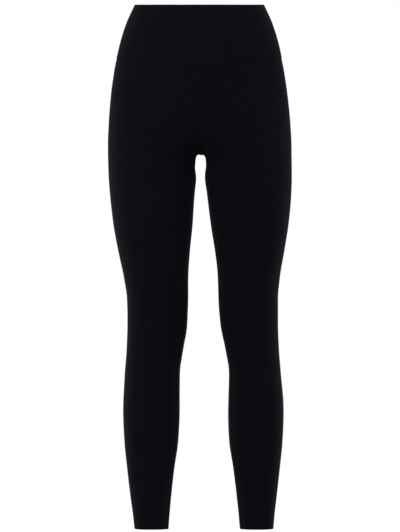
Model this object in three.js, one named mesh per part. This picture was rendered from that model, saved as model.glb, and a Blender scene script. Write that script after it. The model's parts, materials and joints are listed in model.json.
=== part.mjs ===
// Full-length, high-waisted leggings, filled out to the shape they take when worn, with no wearer.
// Millimetres, +Z up, the front facing -Y and the wearer's left leg on +X.
// The origin is the middle of the waist opening, level with its edge at the sides.
//
// The cloth is made of four pieces, as it is sewn: a deep double waistband, a left and a right leg
// that each wrap the hip and meet at the front and back rise, and a gusset between the legs.
// A "drop" is a distance below the waist edge, so a point's z is minus its drop.
import * as THREE from "three";

// Driving sizes
const LENGTH = 950; // waist edge to hem
const CROTCH = 272; // drop of the crotch
const CLOTH = 1.2; // one layer of the knit
const BAND_CLOTH = 2.4; // the waistband is folded double
const BAND_PROUD = 0.4; // how far the thicker band stands out from the legs' cloth
const HEM_TURNED = 15; // depth of the turned hem
const HEM_CLOTH = 2.2; // two layers, pressed
const HEM_STEP = 1; // height over which the turned cloth's edge tapers
const SEAM_GAP = 0.3; // between neighbouring pieces
const BAND_DROP = { front: 109, side: 100, back: 95 }; // drop of the waistband's lower seam
const BAND_DIP = { from: 0.36, to: 0.8 }; // where the seam falls to the front, as cosines of the angle
const EDGE_DIP = 4; // the waist edge is this much lower at the centre front
const FOLD_ROWS = [
  { below: 0, inset: 0.7 },
  { below: 0.5, inset: 0.25 },
  { below: 1.2, inset: 0 },
]; // rounding of the waistband's folded edge: how far both faces are drawn in below it

// Shape of the body of cloth
const FULLNESS = 2.15; // exponent of the ovals, 2 being an ellipse
const RISE_TOP = 120; // above this drop both halves share one oval
const LEG_START = 325; // below this drop each leg is an oval of its own
const RISE_SLOPE = 1.6; // how fast the two ovals pull apart at the crotch
const BRIDGED = 5.7; // half of the gap between the ovals that the cloth bridges at the crotch
const GROIN_FILLET = 30; // softness of the valley between the legs
const FULL_FILLET = 60; // the fillet is whole once the legs' middles are this far out
const LEG_DRIFT = { by: 7, from: 140, to: 640 }; // the legs stand this far to +X of the waist

// Gusset and inseam, as angles round a leg from its front, turning outwards
const GUSSET_TIP = 262; // drop of the gusset's front and back tips
const GUSSET_SIDE = 308; // drop of its side tips, on the inseams
const INSEAM_TOP = -90; // the inseam starts on the inner side
const INSEAM_LOW = -58; // and lies a little forward from the knee down
const INSEAM_TURN = { from: 330, to: 600 };

// Half of the outline, seen from the front, and its depth, at each height. outer and inner are the
// leg's edges from the centre plane, and front and back are its extremes along Y.
const SECTIONS = [
  { drop: 0, outer: 116.5, inner: 10.0, front: -84.0, back: 84.0 },
  { drop: 35, outer: 132.0, inner: 10.0, front: -89.0, back: 87.5 },
  { drop: 75, outer: 144.2, inner: 10.0, front: -95.0, back: 93.0 },
  { drop: 105, outer: 150.5, inner: 10.0, front: -98.5, back: 98.5 },
  { drop: 135, outer: 155.8, inner: 10.0, front: -101.0, back: 106.0 },
  { drop: 175, outer: 160.6, inner: 10.0, front: -102.0, back: 115.0 },
  { drop: 215, outer: 163.9, inner: 10.0, front: -99.5, back: 118.5 },
  { drop: 255, outer: 165.6, inner: 10.0, front: -95.0, back: 113.0 },
  { drop: 290, outer: 165.5, inner: 10.4, front: -92.0, back: 102.5 },
  { drop: 312, outer: 165.2, inner: 9.3, front: -91.5, back: 96.0 },
  { drop: 345, outer: 163.4, inner: 11.9, front: -92.0, back: 88.0 },
  { drop: 395, outer: 158.4, inner: 16.8, front: -91.0, back: 79.0 },
  { drop: 445, outer: 150.0, inner: 23.0, front: -87.0, back: 70.0 },
  { drop: 495, outer: 140.5, inner: 27.3, front: -80.0, back: 60.5 },
  { drop: 535, outer: 136.2, inner: 28.1, front: -74.0, back: 53.5 },
  { drop: 580, outer: 135.9, inner: 31.0, front: -68.0, back: 50.5 },
  { drop: 625, outer: 137.5, inner: 39.0, front: -61.5, back: 54.5 },
  { drop: 670, outer: 141.0, inner: 45.0, front: -56.0, back: 61.5 },
  { drop: 735, outer: 144.8, inner: 44.4, front: -51.0, back: 67.0 },
  { drop: 790, outer: 142.7, inner: 46.8, front: -48.0, back: 62.0 },
  { drop: 840, outer: 137.9, inner: 53.8, front: -45.0, back: 52.0 },
  { drop: 890, outer: 132.1, inner: 59.8, front: -42.0, back: 42.0 },
  { drop: 925, outer: 127.5, inner: 63.3, front: -40.0, back: 37.0 },
  { drop: 950, outer: 124.9, inner: 65.3, front: -39.0, back: 34.5 },
];

// The two legs aren't quite alike: how much wider than in the table above the wearer's right leg
// and left leg are at their outer and inner edges.
const WIDER = [
  { drop: 0, rightOuter: 0, rightInner: 0, leftOuter: 0, leftInner: 0 },
  { drop: 82, rightOuter: 0.3, rightInner: 0, leftOuter: 0, leftInner: 0 },
  { drop: 110, rightOuter: 1, rightInner: 0, leftOuter: 0, leftInner: 0 },
  { drop: 209, rightOuter: 1, rightInner: 0, leftOuter: 0.7, leftInner: 0 },
  { drop: 255, rightOuter: 1.3, rightInner: 0, leftOuter: 0.6, leftInner: 0 },
  { drop: 275, rightOuter: 1.5, rightInner: 2.4, leftOuter: 0.5, leftInner: 0 },
  { drop: 290, rightOuter: 1.4, rightInner: 1.4, leftOuter: 0.5, leftInner: 0 },
  { drop: 300, rightOuter: 1.3, rightInner: 0.2, leftOuter: 0.5, leftInner: 0 },
  { drop: 345, rightOuter: 1.1, rightInner: 0.2, leftOuter: 0.5, leftInner: 0 },
  { drop: 426, rightOuter: 1.8, rightInner: 1.4, leftOuter: -0.4, leftInner: 0 },
  { drop: 463, rightOuter: 2, rightInner: 1.6, leftOuter: -0.5, leftInner: -0.5 },
  { drop: 553, rightOuter: 0.9, rightInner: 1.8, leftOuter: 0, leftInner: -0.1 },
  { drop: 608, rightOuter: 1.4, rightInner: 2.9, leftOuter: -0.2, leftInner: -0.8 },
  { drop: 662, rightOuter: 1.4, rightInner: 2.9, leftOuter: -0.2, leftInner: -1.6 },
  { drop: 716, rightOuter: 0.6, rightInner: 2, leftOuter: 0.9, leftInner: -0.9 },
  { drop: 780, rightOuter: 0.5, rightInner: 1.7, leftOuter: 1.2, leftInner: 0 },
  { drop: 840, rightOuter: 0.2, rightInner: 1.6, leftOuter: 1, leftInner: -0.4 },
  { drop: 900, rightOuter: 0, rightInner: 2.1, leftOuter: 1.3, leftInner: -0.6 },
  { drop: 950, rightOuter: -0.3, rightInner: 2.5, leftOuter: 2.2, leftInner: -0.9 },
];

// Rows and columns of the pieces' walls
const LEG_COLUMNS = 28;
const YOKE_DROP = 190; // the rows follow the waistband's seam above this and are level below it
const YOKE_ROWS = 3;
const RISE_DROPS = [208, 224, 237, 248, 256, GUSSET_TIP];
const GUSSET_EDGE_DROPS = [271, 280, 290, 299];
const LEG_ROWS = 22;
const BAND_COLUMNS = 56;
const BAND_ROWS = 5;
const GUSSET_ROWS = 6; // from a tip to the side tips
const GUSSET_COLUMNS = 12;
const GUSSET_BLUNT = 0.05; // the share of a gusset's edge that its blunt tips take

// How finely the surface is searched for along a ray
const RAY = { step: 3, shortStep: 0.5, limit: 300, halvings: 30 };
const SLOPE_STEP = 0.05; // distance over which the surface's direction is measured

const clamp = (value) => Math.min(1, Math.max(0, value));
const ease = (t) => clamp(t) ** 2 * (3 - 2 * clamp(t));
const mix = (a, b, t) => a + (b - a) * t;
const radians = THREE.MathUtils.degToRad;

// A smooth curve through one column of the table that never overshoots its values.
function curveThrough(rows, column) {
  const at = rows.map((row) => row.drop);
  const value = rows.map((row) => row[column]);
  const last = rows.length - 1;
  const rise = at.slice(1).map((x, i) => (value[i + 1] - value[i]) / (x - at[i]));
  const slope = value.map((_, i) => {
    if (i === 0) return rise[0];
    if (i === last) return rise[last - 1];
    const [before, after] = [rise[i - 1], rise[i]];
    return before * after <= 0 ? 0 : (2 * before * after) / (before + after);
  });
  return (x) => {
    let i = 0;
    while (i < last - 1 && x > at[i + 1]) i += 1;
    const width = at[i + 1] - at[i];
    const t = clamp((x - at[i]) / width);
    const leaving = (1 + 2 * t) * (1 - t) ** 2 * value[i] + t * (1 - t) ** 2 * width * slope[i];
    const arriving = t * t * (3 - 2 * t) * value[i + 1] - t * t * (1 - t) * width * slope[i + 1];
    return leaving + arriving;
  };
}

const outerAt = curveThrough(SECTIONS, "outer");
const innerAt = curveThrough(SECTIONS, "inner");
const frontAt = curveThrough(SECTIONS, "front");
const backAt = curveThrough(SECTIONS, "back");
const widerAt = {
  right: { outer: curveThrough(WIDER, "rightOuter"), inner: curveThrough(WIDER, "rightInner") },
  left: { outer: curveThrough(WIDER, "leftOuter"), inner: curveThrough(WIDER, "leftInner") },
};

// The oval of one half at a drop. Above the crotch its inner edge lies past the centre plane, so
// the two ovals cross, until they are one at the top of the rise.
function ovalAt(drop) {
  const outer = outerAt(drop);
  const thighInner = innerAt(drop);
  const apart = ease((drop - RISE_TOP) / (LEG_START - RISE_TOP));
  const middle = ((outer + thighInner) / 2) * apart;
  let inner = BRIDGED;
  if (drop < CROTCH) {
    const rise = CROTCH - RISE_TOP;
    const power = (RISE_SLOPE * rise) / (outerAt(CROTCH) + BRIDGED);
    inner -= (outer + BRIDGED) * (1 - clamp((drop - RISE_TOP) / rise) ** power);
  } else {
    const room = thighInner - BRIDGED;
    inner += room * (1 - Math.exp((RISE_SLOPE * (CROTCH - drop)) / room));
  }
  const front = frontAt(drop);
  const back = backAt(drop);
  return { outer, inner, middle, centre: (front + back) / 2, depth: (back - front) / 2 };
}

function outsideOval(x, y, oval) {
  const across = x - oval.middle;
  const half = across > 0 ? oval.outer - oval.middle : oval.middle - oval.inner;
  const u = Math.abs(across) / half;
  const v = Math.abs(y - oval.centre) / oval.depth;
  const size = (oval.outer - oval.middle + oval.depth) / 2;
  return ((u ** FULLNESS + v ** FULLNESS) ** (1 / FULLNESS) - 1) * size;
}

// About how far a point lies outside the cloth, and negative inside it: the two halves' ovals,
// joined with a soft valley. The shape is symmetric here, and setOver() makes the legs differ.
function outside(x, y, drop) {
  const oval = ovalAt(drop);
  const right = outsideOval(x, y, oval);
  const left = outsideOval(-x, y, oval);
  const fillet = GROIN_FILLET * clamp(oval.middle / FULL_FILLET) ** 2 + 1e-6;
  return Math.min(right, left) - (fillet / 4) * clamp(1 - Math.abs(right - left) / fillet) ** 2;
}

// Where a point of the symmetric shape stands along X in the part.
function setOver(x, drop) {
  const drift = LEG_DRIFT.by * ease((drop - LEG_DRIFT.from) / (LEG_DRIFT.to - LEG_DRIFT.from));
  const wider = x < 0 ? widerAt.right : widerAt.left;
  const inner = innerAt(drop);
  const nearCentre = clamp(Math.abs(x) / inner);
  const share = clamp((Math.abs(x) - inner) / (outerAt(drop) - inner));
  return x + drift + Math.sign(x) * mix(-wider.inner(drop) * nearCentre, wider.outer(drop), share);
}

// The first point along a ray where the cloth's surface is crossed.
function meetSurface(pointAt, step = RAY.step) {
  const test = (r) => outside(...pointAt(r));
  const startsOutside = test(0) > 0;
  let far = step;
  while (test(far) > 0 === startsOutside && far < RAY.limit) far += step;
  let near = far - step;
  for (let i = 0; i < RAY.halvings; i += 1) {
    const half = (near + far) / 2;
    if (test(half) > 0 === startsOutside) near = half;
    else far = half;
  }
  return pointAt((near + far) / 2);
}

// The surface point in a direction from a leg's middle, at a drop.
function legPoint(angle, drop) {
  const { middle, centre } = ovalAt(drop);
  const [dx, dy] = [Math.sin(radians(angle)), -Math.cos(radians(angle))];
  return meetSurface((r) => [middle + r * dx, centre + r * dy, drop]);
}

// The angle at which a level ring reaches the rise, where way is -1 at the front and 1 at the back.
function riseAngle(drop, way) {
  const { middle, centre } = ovalAt(drop);
  const [x, y] = meetSurface((r) => [SEAM_GAP / 2, centre + way * r, drop]);
  const angle = THREE.MathUtils.radToDeg(Math.atan2(x - middle, centre - y));
  return way < 0 ? angle : (angle + 360) % 360;
}

const inseamAngle = (drop) =>
  mix(
    INSEAM_TOP,
    INSEAM_LOW,
    ease((drop - INSEAM_TURN.from) / (INSEAM_TURN.to - INSEAM_TURN.from)),
  );

// Where the gusset's edge lies, a share of the way from its front or back tip to its side tip.
function gussetEdge(share, way) {
  const tip = riseAngle(GUSSET_TIP, way);
  const side = way < 0 ? INSEAM_TOP : INSEAM_TOP + 360;
  return { angle: mix(tip, side, share), drop: mix(GUSSET_TIP, GUSSET_SIDE, share) };
}

// The first and last angle of a leg's cloth at a drop: at the rise, then along the gusset, and
// below the gusset both at the inseam, where the leg is a closed tube.
function legSpan(frontDrop, backDrop) {
  if (frontDrop <= GUSSET_TIP) return [riseAngle(frontDrop, -1), riseAngle(backDrop, 1)];
  if (frontDrop <= GUSSET_SIDE) {
    const share = (frontDrop - GUSSET_TIP) / (GUSSET_SIDE - GUSSET_TIP);
    return [gussetEdge(share, -1).angle, gussetEdge(share, 1).angle];
  }
  return [inseamAngle(frontDrop), inseamAngle(frontDrop) + 360];
}

// The drop of the waistband's seam at an angle round the waist.
function seamDrop(angle) {
  const forward = Math.cos(radians(angle));
  if (forward < 0) return mix(BAND_DROP.side, BAND_DROP.back, forward ** 2);
  const dip = ease((forward - BAND_DIP.from) / (BAND_DIP.to - BAND_DIP.from));
  return mix(BAND_DROP.side, BAND_DROP.front, dip);
}

// The drop of the waist edge: level from side to side round the back, and in a plane that leans
// down to the centre front.
const edgeDrop = (angle) => EDGE_DIP * Math.max(0, legPoint(angle, 0)[1] / frontAt(0));

// The surface's outward direction, with y and z as in the finished part.
function outward([x, y, drop]) {
  return new THREE.Vector3(
    outside(x + SLOPE_STEP, y, drop) - outside(x - SLOPE_STEP, y, drop),
    outside(x, y + SLOPE_STEP, drop) - outside(x, y - SLOPE_STEP, drop),
    outside(x, y, drop - SLOPE_STEP) - outside(x, y, drop + SLOPE_STEP),
  ).normalize();
}

// A surface point as a point of the part, moved out by some distance, on one side of the body.
function placed(point, out, side) {
  const [x, y, drop] = point;
  const moved = new THREE.Vector3(x, y, -drop).addScaledVector(outward(point), out);
  moved.x = setOver(side * moved.x, drop);
  return moved;
}

// A closed wall of cloth from rows of { point, out, cloth }, on one side of the body. From row
// closedFrom on, the last column is the first one again, so the wall is a tube there.
function clothWall(rows, side, closedFrom = Infinity) {
  const positions = [];
  const faces = [];
  const last = rows[0].length - 1;
  const layer = (depthOf) =>
    rows.map((row, i) => {
      const indices = [];
      row.forEach((cell, j) => {
        if (j === last && i >= closedFrom) {
          indices.push(indices[0]);
          return;
        }
        indices.push(positions.length / 3);
        positions.push(...placed(cell.point, cell.out - depthOf(cell), side).toArray());
      });
      return indices;
    });
  const outer = layer(() => 0);
  const inner = layer((cell) => cell.cloth);
  const quad = (a, b, c, d) => faces.push(a, b, c, a, c, d);
  for (let i = 0; i < rows.length - 1; i += 1) {
    for (let j = 0; j < last; j += 1) {
      quad(outer[i][j], outer[i + 1][j], outer[i + 1][j + 1], outer[i][j + 1]);
      quad(inner[i][j], inner[i][j + 1], inner[i + 1][j + 1], inner[i + 1][j]);
    }
    if (i < closedFrom) {
      quad(outer[i][0], inner[i][0], inner[i + 1][0], outer[i + 1][0]);
      quad(outer[i][last], outer[i + 1][last], inner[i + 1][last], inner[i][last]);
    }
  }
  const end = rows.length - 1;
  for (let j = 0; j < last; j += 1) {
    quad(outer[0][j], outer[0][j + 1], inner[0][j + 1], inner[0][j]);
    quad(outer[end][j], inner[end][j], inner[end][j + 1], outer[end][j + 1]);
  }
  if (side < 0) faces.reverse();
  const geometry = new THREE.BufferGeometry();
  geometry.setAttribute("position", new THREE.Float32BufferAttribute(positions, 3));
  geometry.setIndex(faces);
  geometry.computeVertexNormals();
  return geometry;
}

// A row of a leg: a drop for each angle, from the front end of the cloth to the back end.
function legRow(dropAt, cloth) {
  const span = legSpan(dropAt(0), dropAt(180));
  return Array.from({ length: LEG_COLUMNS + 1 }, (_, j) => {
    const angle = mix(...span, j / LEG_COLUMNS);
    return { point: legPoint(angle, dropAt(angle)), out: 0, cloth };
  });
}

function legGeometry(side) {
  const rows = [];
  for (let i = 0; i < YOKE_ROWS; i += 1) {
    rows.push(legRow((angle) => mix(seamDrop(angle) + SEAM_GAP, YOKE_DROP, i / YOKE_ROWS), CLOTH));
  }
  const level = (drop, cloth = CLOTH) => rows.push(legRow(() => drop, cloth));
  [YOKE_DROP, ...RISE_DROPS, ...GUSSET_EDGE_DROPS].forEach((drop) => level(drop));
  const closedFrom = rows.length;
  const tubeTop = GUSSET_SIDE + SEAM_GAP;
  const hemTop = LENGTH - HEM_TURNED;
  for (let i = 0; i <= LEG_ROWS; i += 1) level(mix(tubeTop, hemTop, i / LEG_ROWS));
  level(hemTop + HEM_STEP, HEM_CLOTH);
  level(LENGTH, HEM_CLOTH);
  return clothWall(rows, side, closedFrom);
}

function waistbandGeometry() {
  const row = ({ below, inset }, share) =>
    Array.from({ length: BAND_COLUMNS + 1 }, (_, j) => {
      const angle = (360 * j) / BAND_COLUMNS;
      const drop = mix(edgeDrop(angle) + below, seamDrop(angle), share);
      const point = legPoint(angle, drop);
      return { point, out: BAND_PROUD - inset, cloth: BAND_CLOTH - 2 * inset };
    });
  const rows = FOLD_ROWS.map((fold) => row(fold, 0));
  for (let i = 1; i <= BAND_ROWS; i += 1) rows.push(row(FOLD_ROWS.at(-1), i / BAND_ROWS));
  return clothWall(rows, 1, 0);
}

// The gusset's rows are arches across the crotch, each in a plane of constant y, from a point of
// one edge over the bridge between the legs to the same point of the other edge.
function gussetGeometry() {
  const lift = SEAM_GAP * 1.5; // keeps the gap to the legs, square to the slanting edges
  const arch = (share, way) => {
    const edge = gussetEdge(share, way);
    const drop = edge.drop - lift;
    const y = legPoint(edge.angle, drop)[1];
    return Array.from({ length: GUSSET_COLUMNS + 1 }, (_, j) => {
      const turn = radians(mix(-90, 90, j / GUSSET_COLUMNS));
      const ray = (r) => [r * Math.sin(turn), y, drop - r * Math.cos(turn)];
      return { point: meetSurface(ray, RAY.shortStep), out: 0, cloth: CLOTH };
    });
  };
  const shares = Array.from({ length: GUSSET_ROWS + 1 }, (_, i) =>
    mix(GUSSET_BLUNT, 1, i / GUSSET_ROWS),
  );
  const frontRows = shares.map((share) => arch(share, -1));
  const backRows = shares.slice(0, -1).map((share) => arch(share, 1));
  return clothWall([...frontRows, ...backRows.reverse()], 1);
}

function piece(name, geometry, colour, roughness) {
  const material = new THREE.MeshStandardMaterial({ color: colour, roughness, metalness: 0 });
  const mesh = new THREE.Mesh(geometry, material);
  mesh.name = name;
  return mesh;
}

const leggings = new THREE.Group();
leggings.name = "leggings";
leggings.add(
  piece("waistband", waistbandGeometry(), 0x121118, 0.75),
  piece("leg_left", legGeometry(1), 0x0f0e14, 0.8),
  piece("leg_right", legGeometry(-1), 0x0f0e14, 0.8),
  piece("gusset", gussetGeometry(), 0x0f0e14, 0.8),
);

export default leggings;
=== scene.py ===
"""High-waisted knit leggings, filled out as worn with no wearer, on a pale studio floor.

Metres, +Z up, the front facing -Y and the wearer's left leg on +X, as in the frame. A "drop" is a
distance below the waist edge. The cloth follows the same surface as the solids: each piece is a
shell on it, with soft creases, and the seams, stitches and inside finish are modelled on top.
"""

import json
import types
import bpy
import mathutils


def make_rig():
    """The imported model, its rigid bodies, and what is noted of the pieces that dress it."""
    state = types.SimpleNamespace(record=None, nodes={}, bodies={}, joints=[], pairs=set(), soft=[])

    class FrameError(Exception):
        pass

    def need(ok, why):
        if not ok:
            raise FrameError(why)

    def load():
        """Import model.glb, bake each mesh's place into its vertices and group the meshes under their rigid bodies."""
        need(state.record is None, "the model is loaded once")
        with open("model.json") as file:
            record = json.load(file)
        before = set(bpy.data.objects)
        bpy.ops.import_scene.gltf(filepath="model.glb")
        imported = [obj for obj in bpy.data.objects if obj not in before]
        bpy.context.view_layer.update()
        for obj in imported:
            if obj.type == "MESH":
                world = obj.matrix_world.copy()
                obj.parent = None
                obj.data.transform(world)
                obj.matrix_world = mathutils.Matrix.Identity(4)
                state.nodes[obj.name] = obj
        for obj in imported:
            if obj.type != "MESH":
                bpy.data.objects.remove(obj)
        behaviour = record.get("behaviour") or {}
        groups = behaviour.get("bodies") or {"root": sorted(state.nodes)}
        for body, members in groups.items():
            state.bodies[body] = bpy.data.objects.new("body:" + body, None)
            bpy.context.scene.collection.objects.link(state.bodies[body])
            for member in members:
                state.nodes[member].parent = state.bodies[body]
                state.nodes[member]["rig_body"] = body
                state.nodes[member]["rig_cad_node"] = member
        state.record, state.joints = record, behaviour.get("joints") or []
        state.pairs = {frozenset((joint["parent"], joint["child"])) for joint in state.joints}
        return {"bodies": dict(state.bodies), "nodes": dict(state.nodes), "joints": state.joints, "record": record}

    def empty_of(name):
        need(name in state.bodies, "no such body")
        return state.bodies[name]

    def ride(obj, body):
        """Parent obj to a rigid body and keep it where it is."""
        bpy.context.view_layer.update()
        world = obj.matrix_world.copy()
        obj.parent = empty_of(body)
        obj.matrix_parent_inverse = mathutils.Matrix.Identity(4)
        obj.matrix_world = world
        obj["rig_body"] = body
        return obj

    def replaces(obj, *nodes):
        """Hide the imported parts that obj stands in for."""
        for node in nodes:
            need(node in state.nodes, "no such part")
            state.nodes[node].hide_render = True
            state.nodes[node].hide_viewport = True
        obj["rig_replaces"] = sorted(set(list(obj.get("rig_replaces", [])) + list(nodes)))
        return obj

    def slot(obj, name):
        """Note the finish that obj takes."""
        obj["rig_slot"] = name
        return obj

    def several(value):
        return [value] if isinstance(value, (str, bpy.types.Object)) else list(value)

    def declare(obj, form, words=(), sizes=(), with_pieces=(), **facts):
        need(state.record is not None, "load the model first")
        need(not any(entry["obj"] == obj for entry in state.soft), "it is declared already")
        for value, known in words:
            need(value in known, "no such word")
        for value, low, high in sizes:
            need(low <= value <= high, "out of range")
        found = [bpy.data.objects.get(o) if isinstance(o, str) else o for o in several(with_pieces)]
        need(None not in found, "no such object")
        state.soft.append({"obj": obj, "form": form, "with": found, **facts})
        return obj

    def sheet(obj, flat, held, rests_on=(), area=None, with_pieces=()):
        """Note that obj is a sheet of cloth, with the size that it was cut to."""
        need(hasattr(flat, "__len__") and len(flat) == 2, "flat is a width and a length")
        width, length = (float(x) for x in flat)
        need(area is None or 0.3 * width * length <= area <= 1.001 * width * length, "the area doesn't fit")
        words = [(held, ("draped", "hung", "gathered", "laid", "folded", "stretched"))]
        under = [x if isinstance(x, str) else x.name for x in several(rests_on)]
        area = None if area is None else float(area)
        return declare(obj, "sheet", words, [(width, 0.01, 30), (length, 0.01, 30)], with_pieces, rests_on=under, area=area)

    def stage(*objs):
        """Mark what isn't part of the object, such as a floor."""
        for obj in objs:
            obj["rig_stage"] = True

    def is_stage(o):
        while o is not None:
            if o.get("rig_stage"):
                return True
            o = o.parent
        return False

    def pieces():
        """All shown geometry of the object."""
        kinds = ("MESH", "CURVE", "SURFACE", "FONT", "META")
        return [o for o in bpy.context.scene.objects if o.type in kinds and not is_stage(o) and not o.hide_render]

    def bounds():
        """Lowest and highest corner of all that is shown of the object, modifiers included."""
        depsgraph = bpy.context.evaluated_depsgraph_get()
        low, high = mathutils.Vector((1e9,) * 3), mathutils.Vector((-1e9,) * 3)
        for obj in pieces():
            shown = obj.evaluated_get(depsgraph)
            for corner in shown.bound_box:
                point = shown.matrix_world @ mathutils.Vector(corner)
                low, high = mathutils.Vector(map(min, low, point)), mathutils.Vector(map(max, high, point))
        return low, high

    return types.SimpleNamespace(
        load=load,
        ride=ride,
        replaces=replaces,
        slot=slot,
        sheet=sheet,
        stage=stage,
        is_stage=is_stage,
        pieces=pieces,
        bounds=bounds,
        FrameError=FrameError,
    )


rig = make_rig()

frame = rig.load()

import json
import math

import bpy
import numpy as np
from mathutils import Vector

CAD_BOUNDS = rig.bounds()
MM = 0.001

# Driving sizes, the same as the solids'
LENGTH = 0.950  # waist edge to hem
CROTCH = 0.272  # drop of the crotch
CLOTH = 1.2 * MM  # one layer of the knit
BAND_CLOTH = 2.4 * MM  # the waistband is folded double
BAND_PROUD = 0.4 * MM  # how far the thicker band stands out from the legs' cloth
HEM_TURNED = 15 * MM  # depth of the turned hem
HEM_CLOTH = 2.2 * MM  # two layers, pressed
BAND_DROP = {"front": 0.109, "side": 0.100, "back": 0.095}  # drop of the waistband's lower seam
BAND_DIP = {"from": 0.36, "to": 0.8}  # where the seam falls to the front, as cosines of the angle
EDGE_DIP = 4 * MM  # the waist edge is this much lower at the centre front

# Shape of the body of cloth
FULLNESS = 2.15  # exponent of the ovals, 2 being an ellipse
RISE_TOP = 0.120  # above this drop both halves share one oval
LEG_START = 0.325  # below this drop each leg is an oval of its own
RISE_SLOPE = 1.6  # how fast the two ovals pull apart at the crotch
BRIDGED = 5.7 * MM  # half of the gap between the ovals that the cloth bridges at the crotch
GROIN_FILLET = 30 * MM  # softness of the valley between the legs
FULL_FILLET = 60 * MM  # the fillet is whole once the legs' middles are this far out
NO_FILLET = 1e-9  # the fillet where there is none yet: too small to show, but never zero
LEG_DRIFT = {"by": 7 * MM, "from": 0.140, "to": 0.640}  # the legs stand this far to +X of the waist

# Gusset and inseam, as angles round a leg from its front, turning outwards
GUSSET_TIP = 0.262  # drop of the gusset's front and back tips
GUSSET_SIDE = 0.308  # drop of its side tips, on the inseams
INSEAM_TOP = -90  # the inseam starts on the inner side
INSEAM_LOW = -58  # and lies a little forward from the knee down
INSEAM_TURN = {"from": 0.330, "to": 0.600}

# Half of the outline and the depth at each height, in mm. Outer and inner are the leg's edges from
# the centre plane, and front and back are its extremes along Y.
SECTIONS = np.array([
    # drop, outer, inner, front, back
    (0, 116.5, 10.0, -84.0, 84.0),
    (35, 132.0, 10.0, -89.0, 87.5),
    (75, 144.2, 10.0, -95.0, 93.0),
    (105, 150.5, 10.0, -98.5, 98.5),
    (135, 155.8, 10.0, -101.0, 106.0),
    (175, 160.6, 10.0, -102.0, 115.0),
    (215, 163.9, 10.0, -99.5, 118.5),
    (255, 165.6, 10.0, -95.0, 113.0),
    (290, 165.5, 10.4, -92.0, 102.5),
    (312, 165.2, 9.3, -91.5, 96.0),
    (345, 163.4, 11.9, -92.0, 88.0),
    (395, 158.4, 16.8, -91.0, 79.0),
    (445, 150.0, 23.0, -87.0, 70.0),
    (495, 140.5, 27.3, -80.0, 60.5),
    (535, 136.2, 28.1, -74.0, 53.5),
    (580, 135.9, 31.0, -68.0, 50.5),
    (625, 137.5, 39.0, -61.5, 54.5),
    (670, 141.0, 45.0, -56.0, 61.5),
    (735, 144.8, 44.4, -51.0, 67.0),
    (790, 142.7, 46.8, -48.0, 62.0),
    (840, 137.9, 53.8, -45.0, 52.0),
    (890, 132.1, 59.8, -42.0, 42.0),
    (925, 127.5, 63.3, -40.0, 37.0),
    (950, 124.9, 65.3, -39.0, 34.5),
]) * MM

# The two legs aren't quite alike: how much wider than in the table above the wearer's right and
# left leg are, at their outer and inner edges, in mm
WIDER = np.array([
    # drop, right outer, right inner, left outer, left inner
    (0, 0, 0, 0, 0),
    (82, 0.3, 0, 0, 0),
    (110, 1, 0, 0, 0),
    (209, 1, 0, 0.7, 0),
    (255, 1.3, 0, 0.6, 0),
    (275, 1.5, 2.4, 0.5, 0),
    (290, 1.4, 1.4, 0.5, 0),
    (300, 1.3, 0.2, 0.5, 0),
    (345, 1.1, 0.2, 0.5, 0),
    (426, 1.8, 1.4, -0.4, 0),
    (463, 2, 1.6, -0.5, -0.5),
    (553, 0.9, 1.8, 0, -0.1),
    (608, 1.4, 2.9, -0.2, -0.8),
    (662, 1.4, 2.9, -0.2, -1.6),
    (716, 0.6, 2, 0.9, -0.9),
    (780, 0.5, 1.7, 1.2, 0),
    (840, 0.2, 1.6, 1, -0.4),
    (900, 0, 2.1, 1.3, -0.6),
    (950, -0.3, 2.5, 2.2, -0.9),
]) * MM

# Relief of the cloth. A groove, dent or swell is this deep or high and about this far to each side.
SEAM_WIDTH = 6 * MM  # of a flatlock seam
SEAM_RAISED = 0.16 * MM
SEAM_SLOPE = {"starts": 0.62 * SEAM_WIDTH, "width": 0.9 * MM}  # at the side of the raised band
SEAM_GROOVE = {"depth": 0.25 * MM, "width": 0.5 * MM}
SEAM_REACH = 0.08 * MM  # how far past its seam a piece's edge reaches
FRONT_RISE_PRESSED = 0.2  # share of that relief that the front rise keeps
PRESSED_FADE = 12 * MM  # above the gusset's tip, where the pressing ends
BAND_SEAM_LEG = {"depth": 0.7 * MM, "width": 1.1 * MM}  # the legs' edge at the waistband's seam
BAND_SEAM_BAND = {"depth": 0.9 * MM, "width": 1.3 * MM}  # the waistband's own edge there
BAND_PUFF = 0.25 * MM  # how far the waistband swells between its seam and its edge
BAND_INSIDE = 0.4  # share of that relief on the waistband's inner face
BAND_LAYER = 1.12 * MM  # cloth on each side of the waistband, with a sliver of air between
HEM_DENT = {"depth": 0.14 * MM, "width": 0.7 * MM}  # along each row of stitches
HEM_SWELL = {"height": 0.12 * MM, "width": 1.1 * MM}  # between the rows
HEM_ROUND = 0.9 * MM  # radius of the hem's fold
HEM_STEP = 0.8 * MM  # height over which the turned cloth's edge tapers
INSIDE_RELIEF = 0.6  # share of a leg's or the gusset's relief on its inner face
GUSSET_RIDGE = {"height": 1.3 * MM, "width": 2.2 * MM}
RIDGE_ASIDE = 1.5 * MM  # of the gusset's middle, towards +X
RIDGE_FADE = 26 * MM  # the ridge is whole where the gusset is this wide

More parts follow.
